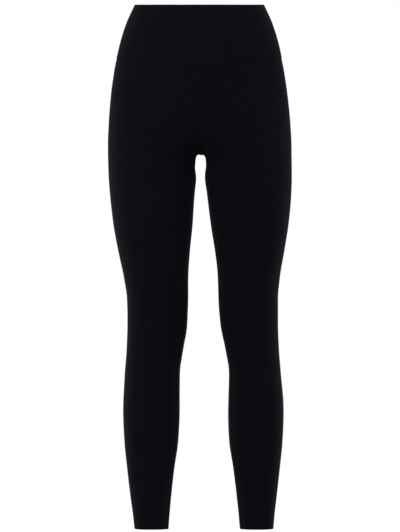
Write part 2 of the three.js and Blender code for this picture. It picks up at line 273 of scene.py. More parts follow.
# Stitches. A thread's size is its radius.
STITCH = 2.4 * MM
STITCH_GAP = 0.5 * MM
SEAM_END = 1 * MM  # how far from a seam's end its threads stop
THREAD = 0.13 * MM
FACE_COVER = {"pitch": 1.7 * MM, "thread": 0.12 * MM, "lift": 0.05 * MM}  # on a flatlock's face
BACK_COVER = {"pitch": 2.2 * MM, "thread": 0.13 * MM, "lift": 0.10 * MM}  # and on its back
COVER_SPREAD = 0.94  # share of the seam's width that the cover threads cross
NEEDLE_SUNK = 0.02 * MM  # the needle rows lie this far below the cover thread
HEM_ROWS = (10.5 * MM, 14.0 * MM)  # heights of the two rows above the hem
HEM_COVER = {"pitch": 2.6 * MM, "thread": 0.13 * MM, "lift": 0.05 * MM}  # inside the hem
OVERLOCK = {"pitch": 2.2 * MM, "thread": 0.14 * MM, "below_seam": 3 * MM}
OVERLOCK_NEEDLE = {"across": -1.6 * MM, "inside": 2.3 * MM, "thread": 0.15 * MM}

# The seam allowance that hangs inside, below the waistband's seam
ALLOWANCE = 7 * MM
ALLOWANCE_FACES = {"outer": 0.55 * MM, "inner": 2.1 * MM}  # how far inside the legs' cloth
ALLOWANCE_LOOSE = {"by": 0.5 * MM, "waver": 0.6}  # how its free edge stands away
ALLOWANCE_TUCK = {"by": 0.35 * MM, "from": 0.85}  # its edge is rounded from this share of its depth
WAVERS = ((0.35 * MM, 23, 1.3), (0.2 * MM, 41, 0))  # height, waves round the waist and phase
WAIST_ROUND = 0.8  # length round the seam that the allowance's UVs are laid out on

# Fineness of the meshes
BAND_COLUMNS = 240
BAND_FOLD_ROWS = 9
LEG_COLUMNS = 96  # between the close ones at the seams
TRACE_COLUMNS = 181  # of the coarse row that a leg's columns are measured along
YOKE = 0.190  # above this drop a leg's rows follow the waistband's seam
YOKE_ROWS = 24
LEG_ROW = 2.9 * MM
GUSSET_COLUMNS, GUSSET_HALF_ROWS = 45, 36
SEAM_POINTS = {"rise": 120, "gusset": 90, "inseam": 420, "hem": 181, "waist": 241}

# Camera and picture
PICTURE_HEIGHT = 532  # pixels of the photograph
PIXEL = 1.8116 * MM  # of the photograph, at the garment
CENTRE_X = 1.1 * MM
CENTRE_DROP = 0.4738
CAMERA_AWAY = 10.0
SENSOR = 36.0  # mm, along the picture's longer side
CLIP_END = 100
FLOOR_DROP = 1.0
FLOOR_SIZE = 40.0
DARK_BELOW, WHITE_ABOVE = -0.9, -0.02  # z of the directions between which the world's light grows


# The garment's surface

def ease(t):
    t = np.clip(t, 0, 1)
    return t * t * (3 - 2 * t)


def mix(a, b, t):
    return a + (b - a) * t


def between(limits, value):
    """0 where the value is the limits' from, and 1 where it is their to."""
    return (value - limits["from"]) / (limits["to"] - limits["from"])


def bell(distance, width):
    return np.exp(-(distance / width) ** 2)


def curve_through(at, value):
    """A smooth curve through the table's values that never overshoots them."""
    rise = np.diff(value) / np.diff(at)
    product, total = rise[:-1] * rise[1:], rise[:-1] + rise[1:]
    middle = np.where(product > 0, 2 * product / np.where(total == 0, 1, total), 0)
    slope = np.concatenate([rise[:1], middle, rise[-1:]])

    def curve(x):
        x = np.asarray(x, float)
        i = np.clip(np.searchsorted(at, x) - 1, 0, len(at) - 2)
        width = at[i + 1] - at[i]
        t = np.clip((x - at[i]) / width, 0, 1)
        leaving = (1 + 2 * t) * (1 - t) ** 2 * value[i] + t * (1 - t) ** 2 * width * slope[i]
        arriving = t * t * (3 - 2 * t) * value[i + 1] - t * t * (1 - t) * width * slope[i + 1]
        return leaving + arriving

    return curve


outer_at, inner_at, front_at, back_at = (
    curve_through(SECTIONS[:, 0], SECTIONS[:, column]) for column in (1, 2, 3, 4))
wider_at = [curve_through(WIDER[:, 0], WIDER[:, column]) for column in (1, 2, 3, 4)]


def oval_at(drop):
    """Outer and inner edge, middle, centre and depth of one half's oval at a drop."""
    outer, thigh_inner = outer_at(drop), inner_at(drop)
    apart = ease((drop - RISE_TOP) / (LEG_START - RISE_TOP))
    middle = (outer + thigh_inner) / 2 * apart
    rise = CROTCH - RISE_TOP
    power = RISE_SLOPE * rise / (outer_at(CROTCH) + BRIDGED)
    joined = (outer + BRIDGED) * (1 - np.clip((drop - RISE_TOP) / rise, 0, 1) ** power)
    room = thigh_inner - BRIDGED
    parted = room * (1 - np.exp(-RISE_SLOPE * np.maximum(drop - CROTCH, 0) / room))
    inner = BRIDGED + np.where(drop < CROTCH, -joined, parted)
    front, back = front_at(drop), back_at(drop)
    return outer, inner, middle, (front + back) / 2, (back - front) / 2


def outside_oval(x, y, oval):
    outer, inner, middle, centre, depth = oval
    across = x - middle
    half = np.where(across > 0, outer - middle, middle - inner)
    u, v = np.abs(across) / half, np.abs(y - centre) / depth
    size = (outer - middle + depth) / 2
    return ((u ** FULLNESS + v ** FULLNESS) ** (1 / FULLNESS) - 1) * size


def outside(x, y, drop):
    """About how far a point lies outside the cloth, and negative inside it."""
    oval = oval_at(drop)
    right, left = outside_oval(x, y, oval), outside_oval(-x, y, oval)
    fillet = GROIN_FILLET * np.clip(oval[2] / FULL_FILLET, 0, 1) ** 2 + NO_FILLET
    return np.minimum(right, left) - fillet / 4 * np.clip(1 - np.abs(right - left) / fillet, 0, 1) ** 2


def meet_surface(ray, step=4 * MM, limit=0.3, halvings=26):
    """The first crossing of the surface along each ray. ray(r) gives x, y and drop."""
    far = np.full(np.broadcast(*ray(0.0)).shape, step)
    inside_first = outside(*ray(0 * far)) < 0
    while far.max() < limit:
        same = (outside(*ray(far)) < 0) == inside_first
        if not same.any():
            break
        far = np.where(same, far + step, far)
    near = far - step
    for _ in range(halvings):
        half = (near + far) / 2
        same = (outside(*ray(half)) < 0) == inside_first
        near, far = np.where(same, half, near), np.where(same, far, half)
    return np.stack(np.broadcast_arrays(*ray((near + far) / 2)), axis=-1)


def leg_point(angle, drop):
    """The surface at an angle round a leg, as x, y and drop."""
    angle, drop = np.broadcast_arrays(np.asarray(angle, float), np.asarray(drop, float))
    _, _, middle, centre, _ = oval_at(drop)
    dx, dy = np.sin(np.radians(angle)), -np.cos(np.radians(angle))
    return meet_surface(lambda r: (middle + r * dx, centre + r * dy, drop))


def rise_point(drop, way):
    """The surface at the centre plane, at the front (way -1) or the back (way 1)."""
    drop = np.asarray(drop, float)
    centre = oval_at(drop)[3]
    return meet_surface(lambda r: (0 * r, centre + way * r, drop))


def rise_angle(drop, way):
    point = rise_point(drop, way)
    _, _, middle, centre, _ = oval_at(np.asarray(drop, float))
    angle = np.degrees(np.arctan2(point[..., 0] - middle, centre - point[..., 1]))
    return angle if way < 0 else angle % 360


def inseam_angle(drop):
    return mix(INSEAM_TOP, INSEAM_LOW, ease(between(INSEAM_TURN, drop)))


def gusset_edge(share, way):
    """Angle and drop on the gusset's edge, a share of the way from a tip to the side tip."""
    tip = rise_angle(GUSSET_TIP, way)
    side = INSEAM_TOP if way < 0 else INSEAM_TOP + 360
    return mix(tip, side, share), mix(GUSSET_TIP, GUSSET_SIDE, share)


def seam_drop(angle):
    """Drop of the waistband's lower seam."""
    forward = np.cos(np.radians(angle))
    front = mix(BAND_DROP["side"], BAND_DROP["front"], ease(between(BAND_DIP, forward)))
    back = mix(BAND_DROP["side"], BAND_DROP["back"], forward ** 2)
    return np.where(forward > 0, front, back)


def edge_drop(angle):
    """Level round the back, and in a plane that leans down to the centre front."""
    front = leg_point(angle, 0 * angle)[..., 1] / front_at(0)
    return EDGE_DIP * np.maximum(0, front)


def to_xyz(points):
    """Points as x, y and z from x, y and drop, or the other way round."""
    return points * (1, 1, -1)


def unit(vectors):
    return vectors / np.linalg.norm(vectors, axis=-1, keepdims=True)


def slope_at(points, h=0.05 * MM):
    """How fast outside() grows along x, y and z."""
    x, y, drop = points[..., 0], points[..., 1], points[..., 2]
    return np.stack([
        outside(x + h, y, drop) - outside(x - h, y, drop),
        outside(x, y + h, drop) - outside(x, y - h, drop),
        outside(x, y, drop - h) - outside(x, y, drop + h),
    ], axis=-1) / (2 * h)


def outward(points):
    """Unit directions out of the surface, in x, y, z."""
    return unit(slope_at(points))


def settle(xyz, rounds=4):
    """Moves points near the surface onto it."""
    for _ in range(rounds):
        points = to_xyz(xyz)
        slope = slope_at(points)
        value = outside(points[..., 0], points[..., 1], points[..., 2])
        xyz = xyz - slope * (value / (slope ** 2).sum(-1))[..., None]
    return xyz


def set_over(xyz, side=1):
    """Where points of the symmetric shape, made on one side of the body, stand in the part."""
    x, drop = xyz[..., 0] * side, -xyz[..., 2]
    drift = LEG_DRIFT["by"] * ease(between(LEG_DRIFT, drop))
    right_outer, right_inner, left_outer, left_inner = (curve(drop) for curve in wider_at)
    wider_outer = np.where(x < 0, right_outer, left_outer)
    wider_inner = np.where(x < 0, right_inner, left_inner)
    inner = inner_at(drop)
    share = np.clip((np.abs(x) - inner) / (outer_at(drop) - inner), 0, 1)
    near_centre = np.clip(np.abs(x) / inner, 0, 1)
    moved = x + drift + np.sign(x) * mix(-wider_inner * near_centre, wider_outer, share)
    return np.stack([moved, xyz[..., 1], xyz[..., 2]], -1)


# Soft creases where the knit gives. Each is a trough with low shoulders, at an angle round the leg
# and a drop: angle and tilt in degrees, and the rest in mm.
CREASES = [
    # angle, drop, tilt, half length, half width, depth
    (182, 534, 5, 34, 8, 0.7),
    (176, 552, -4, 44, 9, 1.2),
    (186, 573, 6, 40, 8, 1.0),
    (174, 595, -7, 32, 9, 0.7),
    (232, 560, 12, 26, 9, 0.6),
    (128, 566, -10, 24, 8, 0.5),
    (180, 872, 4, 22, 7, 0.5),
    (186, 893, -6, 26, 8, 0.7),
    (176, 914, 7, 20, 6, 0.5),
    (8, 884, -5, 22, 8, 0.4),
    (-8, 906, 6, 20, 7, 0.45),
    (-48, 292, -38, 34, 9, 0.5),
    (-60, 322, -24, 26, 9, 0.4),
    (212, 300, 16, 38, 10, 0.8),
    (200, 322, 10, 30, 10, 0.6),
    (244, 318, 30, 24, 8, 0.6),
    (24, 226, 34, 30, 12, 0.35),
    (66, 130, 8, 34, 14, 0.3),
    (148, 138, -10, 36, 13, 0.35),
]


CREASE_SHOULDERS = 0.7  # how much a trough's sides rise
LEG_CREASES = {
    1: {"lower_by": 0, "strength": 1.0, "tilted": 1.0},
    -1: {"lower_by": 7 * MM, "strength": 0.8, "tilted": -0.7},
}  # what becomes of the creases on the left leg (1) and on the right leg (-1)


def crease_depth(angle, drop, side):
    """How far the cloth sinks into its creases."""
    total = np.zeros(np.broadcast(angle, drop).shape)
    leg = LEG_CREASES[side]
    for at_angle, at_drop, tilt, length, width, depth in CREASES:
        around = (np.asarray(angle) - at_angle + 180) % 360 - 180
        radius = float(outer_at(at_drop * MM) - inner_at(at_drop * MM)) / 2
        u = np.radians(around) * radius
        v = drop - at_drop * MM - leg["lower_by"]
        turn = math.radians(leg["tilted"] * tilt)
        along = u * math.cos(turn) + v * math.sin(turn)
        across = (v * math.cos(turn) - u * math.sin(turn)) / (width * MM)
        trough = (1 - CREASE_SHOULDERS * across ** 2) * bell(across, 1) * bell(along, length * MM)
        total += leg["strength"] * depth * MM * trough
    return total


# Meshes

def mesh_object(name, vertices, quads, uv=None, around=None):
    """A smooth mesh. Where its UVs wrap, around is the distance after which they start again."""
    mesh = bpy.data.meshes.new(name)
    vertices = np.ascontiguousarray(vertices.reshape(-1, 3), dtype=np.float32)
    quads = np.ascontiguousarray(quads.reshape(-1, 4), dtype=np.int32)
    mesh.vertices.add(len(vertices))
    mesh.vertices.foreach_set("co", vertices.ravel())
    mesh.loops.add(quads.size)
    mesh.loops.foreach_set("vertex_index", quads.ravel())
    mesh.polygons.add(len(quads))
    mesh.polygons.foreach_set("loop_start", np.arange(0, quads.size, 4, dtype=np.int32))
    mesh.polygons.foreach_set("use_smooth", np.ones(len(quads), bool))
    if uv is not None:
        corners = uv.reshape(-1, 2)[quads]
        if around:
            behind = corners[..., 0].max(axis=1, keepdims=True) - corners[..., 0] > around / 2
            corners[..., 0] += around * behind
        layer = mesh.uv_layers.new(name="cloth")
        layer.data.foreach_set("uv", corners.astype(np.float32).ravel())
    mesh.update(calc_edges=True)
    mesh.validate()
    obj = bpy.data.objects.new(name, mesh)
    bpy.context.scene.collection.objects.link(obj)
    return obj


def grid_quads(rows, columns, start=0, closed=False, flip=False):
    i, j = np.meshgrid(np.arange(rows - 1), np.arange(columns if closed else columns - 1), indexing="ij")
    k = (j + 1) % columns
    quads = np.stack([i * columns + j, (i + 1) * columns + j, (i + 1) * columns + k, i * columns + k], -1)
    quads = quads.reshape(-1, 4) + start
    return quads[:, ::-1] if flip else quads


def rim_quads(outer_loop, inner_loop, closed):
    a, b = np.asarray(outer_loop), np.asarray(inner_loop)
    a2, b2 = np.roll(a, -1), np.roll(b, -1)
    quads = np.stack([a, a2, b2, b], -1)
    return quads if closed else quads[:-1]


def cloth_shell(name, outer, inner, uv, closed=False, flip=False, around=None):
    """A closed shell between two grids of points, open or closed along each row."""
    rows, columns = outer.shape[:2]
    count = rows * columns
    quads = [grid_quads(rows, columns, 0, closed), grid_quads(rows, columns, count, closed, flip=True)]
    index = np.arange(count).reshape(rows, columns)
    quads.append(rim_quads(index[0], index[0] + count, closed))
    quads.append(rim_quads(index[-1][::-1], index[-1][::-1] + count, closed))
    if not closed:
        quads.append(rim_quads(index[::-1, 0], index[::-1, 0] + count, False))
        quads.append(rim_quads(index[:, -1], index[:, -1] + count, False))
    quads = np.concatenate(quads)
    if flip:
        quads = quads[:, ::-1]
    vertices = np.concatenate([outer.reshape(-1, 3), inner.reshape(-1, 3)])
    return mesh_object(name, vertices, quads, np.concatenate([uv.reshape(-1, 2)] * 2), around)


# Where a piece's columns lie beside a seam, in mm from it
SEAM_COLUMNS = np.array([0, 0.35, 0.7, 1.1, 1.6, 2.2, 2.9, 3.6, 4.4, 5.6, 7.4, 10.0]) * MM


def flatlock_relief(distance):
    """Raised band of a flatlock seam and the groove where its two pieces meet."""
    band = SEAM_RAISED * ease((SEAM_SLOPE["starts"] - distance) / SEAM_SLOPE["width"])
    return band - SEAM_GROOVE["depth"] * bell(distance, SEAM_GROOVE["width"])


def spread_columns(lengths, middle_count):
    """Arc positions along each row, close together beside the seams at both ends."""
    ends = SEAM_COLUMNS[None, :] * np.ones((len(lengths), 1))
    start, stop = SEAM_COLUMNS[-1], lengths[:, None] - SEAM_COLUMNS[-1]
    inner = np.linspace(0, 1, middle_count + 2)[1:-1]
    middle = mix(start, stop, inner[None, :])
    return np.concatenate([ends, middle, lengths[:, None] - ends[:, ::-1]], axis=1)


def close_seams(points):
    """Lets the first and last columns reach a hair past their seams, to let no light through."""
    points = points.copy()
    for end, beside in ((0, 1), (-1, -2)):
        points[:, end] += SEAM_REACH * unit(points[:, end] - points[:, beside])
    return points


# Where a leg's rows lie at its two ends, in mm below the waistband's seam and above the hem
TOP_ROWS = np.array([0, 0.5, 1.0, 1.6, 2.4, 3.4, 4.8, 6.6]) * MM
LOW_ROWS = np.array([17, 16, 15, 14.4, 13.8, 13.0, 12.2, 11.2, 10.6, 10.0,
                     9.2, 7.4, 5.4, 3.6, 2.2, 1.3, 0.8, 0.4, 0.12, 0]) * MM


def leg_rows():
    """Drops of a leg's rows, from the waistband's seam to the hem, as functions of the angle."""
    rows = [lambda angle, down=down: seam_drop(angle) + down for down in TOP_ROWS]
    for share in np.linspace(0, 1, YOKE_ROWS + 2)[1:-1]:
        rows.append(lambda angle, share=share: mix(seam_drop(angle) + TOP_ROWS[-1], YOKE, share))
    body = np.concatenate([np.arange(YOKE, LENGTH - LOW_ROWS[0], LEG_ROW), LENGTH - LOW_ROWS])
    body = np.sort(np.append(body, (GUSSET_TIP, GUSSET_SIDE)))
    rows += [lambda angle, drop=drop: drop + 0 * np.asarray(angle, float) for drop in body]
    return rows


def leg_span(front_drop, back_drop):
    """Angles of a row's two ends, at the rise, the gusset's edges or the inseam."""
    if front_drop <= GUSSET_TIP:
        return float(rise_angle(front_drop, -1)), float(rise_angle(back_drop, 1))
    if front_drop <= GUSSET_SIDE:
        share = (front_drop - GUSSET_TIP) / (GUSSET_SIDE - GUSSET_TIP)
        return float(gusset_edge(share, -1)[0]), float(gusset_edge(share, 1)[0])
    return float(inseam_angle(front_drop)), float(inseam_angle(front_drop)) + 360


def leg_grid():
    """Angles, drops and surface points of a leg, their distance along the row and its length."""
    rows = leg_rows()
    spans = np.array([leg_span(float(row(0)), float(row(180))) for row in rows])
    fractions = np.linspace(0, 1, TRACE_COLUMNS)
    coarse_angles = mix(spans[:, :1], spans[:, 1:], fractions[None, :])
    coarse_drops = np.array([row(angles) for row, angles in zip(rows, coarse_angles)])
    coarse = leg_point(coarse_angles, coarse_drops)
    steps = np.linalg.norm(np.diff(coarse, axis=1), axis=-1)
    travelled = np.concatenate([np.zeros((len(rows), 1)), np.cumsum(steps, axis=1)], axis=1)
    along = spread_columns(travelled[:, -1], LEG_COLUMNS)
    angles = np.array([np.interp(a, t, c) for a, t, c in zip(along, travelled, coarse_angles)])
    drops = np.array([row(a) for row, a in zip(rows, angles)])
    return angles, drops, leg_point(angles, drops), along, travelled[:, -1:]


def leg_cloth(name, side, grid):
    angles, drops, points, along, lengths = grid
    seam = np.minimum(along, lengths - along)
    below_band = drops - seam_drop(angles)
    above_hem = LENGTH - drops
    at_front_rise = (along < lengths / 2) * ease((GUSSET_TIP - drops) / PRESSED_FADE)
    relief = flatlock_relief(seam) * mix(1, FRONT_RISE_PRESSED, at_front_rise)
    relief -= crease_depth(angles, drops, side)
    relief -= BAND_SEAM_LEG["depth"] * bell(below_band, BAND_SEAM_LEG["width"])
    for row in HEM_ROWS:
        relief -= HEM_DENT["depth"] * bell(above_hem - row, HEM_DENT["width"])
    relief += HEM_SWELL["height"] * bell(above_hem - np.mean(HEM_ROWS), HEM_SWELL["width"])
    rounding = HEM_ROUND * (1 - np.sqrt(1 - np.clip(1 - above_hem / HEM_ROUND, 0, 1) ** 2))
    thick = mix(CLOTH, HEM_CLOTH, ease((HEM_TURNED + HEM_STEP - above_hem) / HEM_STEP))
    normals = outward(points)
    outer = to_xyz(points) + normals * (relief - rounding)[..., None]
    inner = to_xyz(points) + normals * (relief * INSIDE_RELIEF - thick + rounding)[..., None]
    centre_line = np.array([np.interp(90, a, s) for a, s in zip(angles, along)])[:, None]
    uv = np.stack([along - centre_line, -drops], -1)
    outer, inner = (set_over(close_seams(layer), side) for layer in (outer, inner))
    return cloth_shell(name, outer, inner, uv, flip=side < 0)


def waistband_cloth():
    """The folded band: its outer layer up to the fold, over it, and the inner layer down."""
    angle = np.arange(BAND_COLUMNS) * 360 / BAND_COLUMNS
    air = BAND_CLOTH - 2 * BAND_LAYER
    lower, upper = seam_drop(angle), edge_drop(angle)
    half = BAND_CLOTH / 2
    # Its rows lie at these shares of the way from its seam to where the fold starts
    shares = np.concatenate([[0, 0.004, 0.009, 0.016, 0.025, 0.038], np.linspace(0.055, 0.99, 44)])

    def surface(drop, out):
        points = leg_point(angle, drop)
        return to_xyz(points) + outward(points) * np.broadcast_to(out, angle.shape)[:, None]

    def wall(out, relief):
        """One face of the band, from its seam up to where the fold starts."""
        rows = []
        for share in shares:
            drop = mix(lower, upper + half, share)
            dip = BAND_SEAM_BAND["depth"] * bell(lower - drop, BAND_SEAM_BAND["width"])
            puff = BAND_PUFF * np.sin(np.pi * share) ** 0.5
            rows.append(surface(drop, out + relief * (puff - dip)))
        return rows

    def fold(radius):
        """Half a turn over the top, from the outer side to the inner side."""
        rows = []
        middle = BAND_PROUD - half
        for turn in np.linspace(0, np.pi, BAND_FOLD_ROWS):
            drop = upper + half - radius * np.sin(turn)
            rows.append(surface(drop, middle + radius * np.cos(turn)))
        return rows

    def over(out, deep, radius):
        """A face up the outer side, over the fold and down the inner side."""
        rows = wall(out, 1.0) + fold(radius) + wall(out - deep, BAND_INSIDE)[::-1]
        return np.array(rows)[:, ::-1]

    outer = over(BAND_PROUD, BAND_CLOTH, half)
    inner = over(BAND_PROUD - BAND_LAYER, air, air / 2)
    middle_row = outer[len(shares) // 2]
    steps = np.linalg.norm(np.roll(middle_row, -1, axis=0) - middle_row, axis=1)
    along = np.concatenate([[0], np.cumsum(steps)])
    up = np.concatenate([[0], np.cumsum(np.linalg.norm(np.diff(outer[:, 0], axis=0), axis=1))])
    uv = np.stack(np.meshgrid(along[:-1], up), -1)
    outer, inner = set_over(outer), set_over(inner)
    return cloth_shell("waistband_cloth", outer, inner, uv, closed=True, around=along[-1])


def gusset_cloth():
    """Arches across the crotch, from one edge of the diamond to the other."""
    shares = np.linspace(0.004, 1, GUSSET_HALF_ROWS)
    edges = [(share, -1) for share in shares] + [(share, 1) for share in shares[-2::-1]]
    turn = np.radians(np.linspace(-90, 90, GUSSET_COLUMNS))
    across, down = np.sin(turn), np.cos(turn)
    arches = []
    for share, way in edges:
        angle, drop = gusset_edge(share, way)
        y = leg_point(angle, drop)[1]
        arches.append(meet_surface(lambda r: (r * across, y + 0 * r, drop - r * down), step=0.5 * MM))
    points = np.array(arches)
    steps = np.linalg.norm(np.diff(points, axis=1), axis=-1)
    along = np.concatenate([np.zeros((len(points), 1)), np.cumsum(steps, axis=1)], axis=1)
    seam = np.minimum(along, along[:, -1:] - along)
    middle = along - along[:, -1:] / 2
    ridge = GUSSET_RIDGE["height"] * bell(middle - RIDGE_ASIDE, GUSSET_RIDGE["width"])
    relief = flatlock_relief(seam) + ridge * ease(along[:, -1:] / RIDGE_FADE)
    normals = outward(points)
    outer = to_xyz(points) + normals * relief[..., None]
    inner = to_xyz(points) + normals * (relief * INSIDE_RELIEF - CLOTH)[..., None]
    uv = np.stack([middle, points[..., 1]], -1)
    outer, inner = (set_over(close_seams(layer)) for layer in (outer, inner))
    return cloth_shell("gusset_cloth", outer, inner, uv)


# Threads

class Seam:
    """A line on the surface, in x, y, z of the symmetric shape, that threads are laid along."""

    def __init__(self, line, closed=False):
        self.closed = closed
        steps = np.linalg.norm(np.diff(line, axis=0), axis=1)
        self.travelled = np.concatenate([[0], np.cumsum(steps)])
        self.length = self.travelled[-1]
        self.line = line

    def lay(self, along, across, height):
        """Points at distances along and across the seam, and a height above the cloth."""
        along, across, height = np.broadcast_arrays(along, across, height)
        near = 0.5 * MM
        base = self._at(along)
        tangent = unit(self._at(along + near) - self._at(along - near))
        sideways = np.cross(tangent, outward(to_xyz(base)))
        point = settle(base + sideways * across[..., None])
        return point + outward(to_xyz(point)) * height[..., None]

    def _at(self, along):
        if self.closed:
            along = along % self.length
        axes = [np.interp(along, self.travelled, self.line[:, axis]) for axis in range(3)]
        return np.stack(axes, axis=-1)


def tubes(paths, radius, sides=5):
    """Vertices and quads of a round thread along each path of an array (paths, points, 3)."""
    count, length = paths.shape[:2]
    tangent = unit(np.gradient(paths, axis=1))
    up = np.where(np.abs(tangent[..., 2:3]) < 0.8, (0.0, 0.0, 1.0), (1.0, 0.0, 0.0))
    first = unit(np.cross(tangent, up))
    second = np.cross(tangent, first)
    turn = np.arange(sides) * 2 * np.pi / sides
    ring = np.cos(turn)[:, None] * first[..., None, :] + np.sin(turn)[:, None] * second[..., None, :]
    vertices = paths[..., None, :] + radius * ring
    starts = np.arange(count) * length * sides
    quads = grid_quads(length, sides, closed=True)[None] + starts[:, None, None]
    return vertices.reshape(-1, 3), quads.reshape(-1, 4)


def thread_object(name, groups):
    """One mesh from several (vertices, quads) groups."""
    vertices, quads, start = [], [], 0
    for group_vertices, group_quads in groups:
        vertices.append(group_vertices)
        quads.append(group_quads + start)
        start += len(group_vertices)
    return mesh_object(name, np.concatenate(vertices), np.concatenate(quads))


def straight_row(seam, across, side, height=0.0, radius=THREAD):
    """A row of lockstitches: each dives into the cloth at both ends."""
    count = int(seam.length / (STITCH + STITCH_GAP))
    begin = np.arange(count)[:, None] * seam.length / count
    # A stitch's points, and how high its thread lies there
    along = begin + np.array([0, 0.1, 0.35, 0.65, 0.9, 1]) * STITCH
    lift = height + np.array([-0.16, 0.06, 0.14, 0.14, 0.06, -0.16]) * MM
    return tubes(set_over(seam.lay(along, across, lift[None, :]), side), radius)


def zigzag_row(seam, half_width, cover, side, height):
    """A cover thread that crosses from side to side of the seam, each corner made of three points."""
    count = int(seam.length / cover["pitch"])
    corners = np.arange(2 * count + 1)
    along = np.repeat(corners, 3) + np.tile([-0.12, 0, 0.12], len(corners))
    across = np.repeat(half_width * (-1.0) ** corners, 3)
    across *= np.tile([0.86, 1.0, 0.86], len(corners))
    along = np.clip(along * seam.length / (2 * count), 0, seam.length)
    path = seam.lay(along, across, height)
    return tubes(set_over(path, side)[None], cover["thread"], sides=4)


def flatlock(seam, side, pressed=1.0):
    """Threads of one flatlock seam, on the cloth's face and on its back."""
    half = SEAM_WIDTH / 2
    face, back = pressed * (SEAM_RAISED + FACE_COVER["lift"]), -CLOTH - BACK_COVER["lift"]
    needles = (-half, -half / 3, half / 3, half)
    groups = [straight_row(seam, across, side, face - NEEDLE_SUNK) for across in needles]
    groups.append(zigzag_row(seam, half * COVER_SPREAD, FACE_COVER, side, face))
    groups.append(zigzag_row(seam, half * COVER_SPREAD, BACK_COVER, side, back))
    return groups


def rise_seam(way):
    drop = np.linspace(seam_drop(0 if way < 0 else 180) + SEAM_END, GUSSET_TIP - SEAM_END,
                       SEAM_POINTS["rise"])
    return Seam(to_xyz(rise_point(drop, way)))


def gusset_seam(way):
    angle, drop = gusset_edge(np.linspace(0, 1, SEAM_POINTS["gusset"]), way)
    return Seam(to_xyz(leg_point(angle, drop)))


def inseam_seam():
    drop = np.linspace(GUSSET_SIDE, LENGTH - SEAM_END, SEAM_POINTS["inseam"])
    return Seam(to_xyz(leg_point(inseam_angle(drop), drop)))


def hem_seam(above):
    angle = np.linspace(0, 360, SEAM_POINTS["hem"])
    return Seam(to_xyz(leg_point(angle, LENGTH - above)), closed=True)


def hem_threads(side):
    groups = [straight_row(hem_seam(above), 0.0, side) for above in HEM_ROWS]
    middle = hem_seam(float(np.mean(HEM_ROWS)))
    reach = (HEM_ROWS[1] - HEM_ROWS[0]) / 2
    groups.append(zigzag_row(middle, reach, HEM_COVER, side, -HEM_CLOTH - HEM_COVER["lift"]))
    return groups


def waist_allowance():
    """The overlocked seam allowance that hangs inside, below the waistband's seam."""
    angle = np.arange(BAND_COLUMNS) * 360 / BAND_COLUMNS
    downs = np.array([-1.0, 0.0, 1.2, 2.6, 4.0, 5.4, 6.4, 6.9]) * MM
    waver = sum(height * np.sin(np.radians(angle) * waves + phase) for height, waves, phase in WAVERS)
    faces = {"outer": [], "inner": []}
    for down in downs:
        share = max(0, down / ALLOWANCE)
        points = leg_point(angle, seam_drop(angle) + down + share * waver)
        normals = outward(points)
        tuck = ALLOWANCE_TUCK["by"] * ease((share - ALLOWANCE_TUCK["from"]) / (1 - ALLOWANCE_TUCK["from"]))
        loose = share ** 2 * (ALLOWANCE_LOOSE["by"] + ALLOWANCE_LOOSE["waver"] * waver)
        for name, way in (("outer", 1), ("inner", -1)):
            inside = CLOTH + ALLOWANCE_FACES[name] + loose + way * tuck
            faces[name].append(to_xyz(points) - normals * inside[:, None])
    outer, inner = (set_over(np.array(rows)[:, ::-1]) for rows in faces.values())
    uv = np.stack(np.meshgrid(angle / 360 * WAIST_ROUND, -downs), -1)
    return cloth_shell("waistband_allowance", inner, outer, uv, closed=True, around=WAIST_ROUND)


def overlock_threads():
    """Loops of thread over the allowance's raw edge, and the needle row that holds them."""
    angle = np.linspace(0, 360, SEAM_POINTS["waist"])
    line = leg_point(angle, seam_drop(angle) + OVERLOCK["below_seam"])
    ring = Seam(to_xyz(line), closed=True)
    count = int(ring.length / OVERLOCK["pitch"])
    begin = np.arange(count)[:, None] * ring.length / count
    # A loop's points: along the seam, down past the raw edge and up again, and inward from the face
    slant = np.array([0, 0.3, 0.7, 1.0, 1.0, 0.6, 0.2]) * MM
    downward = np.array([-1.6, 0.5, 2.6, 4.1, 4.1, 2.6, 0.8]) * MM
    inward = np.array([2.4, 2.75, 3.1, 2.9, 2.1, 1.5, 1.3]) * MM + CLOTH
    loops = ring.lay(begin + slant, downward[None, :], -inward[None, :])
    needle = straight_row(ring, OVERLOCK_NEEDLE["across"], 1, -CLOTH - OVERLOCK_NEEDLE["inside"],
                          OVERLOCK_NEEDLE["thread"])
    return [tubes(set_over(loops), OVERLOCK["thread"], sides=4), needle]


# Materials

BAND_BLACK = (0.0029, 0.0028, 0.0047)
LEG_BLACK = (0.0028, 0.0026, 0.0044)
THREAD_BLACK = ((0.0034, 0.0030, 0.0054), (0.0056, 0.0050, 0.0084))
MOTTLED = 0.16  # how much darker and lighter than its colour the knit gets
FINE_SHARE = 0.4  # of that, what changes from stitch to stitch
WALE = 0.55 * MM  # width of a column of stitches
COURSE = 0.42 * MM  # height of a stitch
STITCH_SHARE = 0.3  # of the knit's relief, what the stitches make and the columns don't


def node_material(name):
    material = bpy.data.materials.new(name)
    material.use_nodes = True
    return material, material.node_tree.nodes, material.node_tree.links


def set_inputs(node, values):
    for name, value in values.items():
        node.inputs[name].default_value = value


def math_node(nodes, links, operation, *values):
    node = nodes.new("ShaderNodeMath")
    node.operation = operation
    for slot, value in zip(node.inputs, values):
        if isinstance(value, (int, float)):
            slot.default_value = value
        else:
            links.new(value, slot)
    return node.outputs[0]


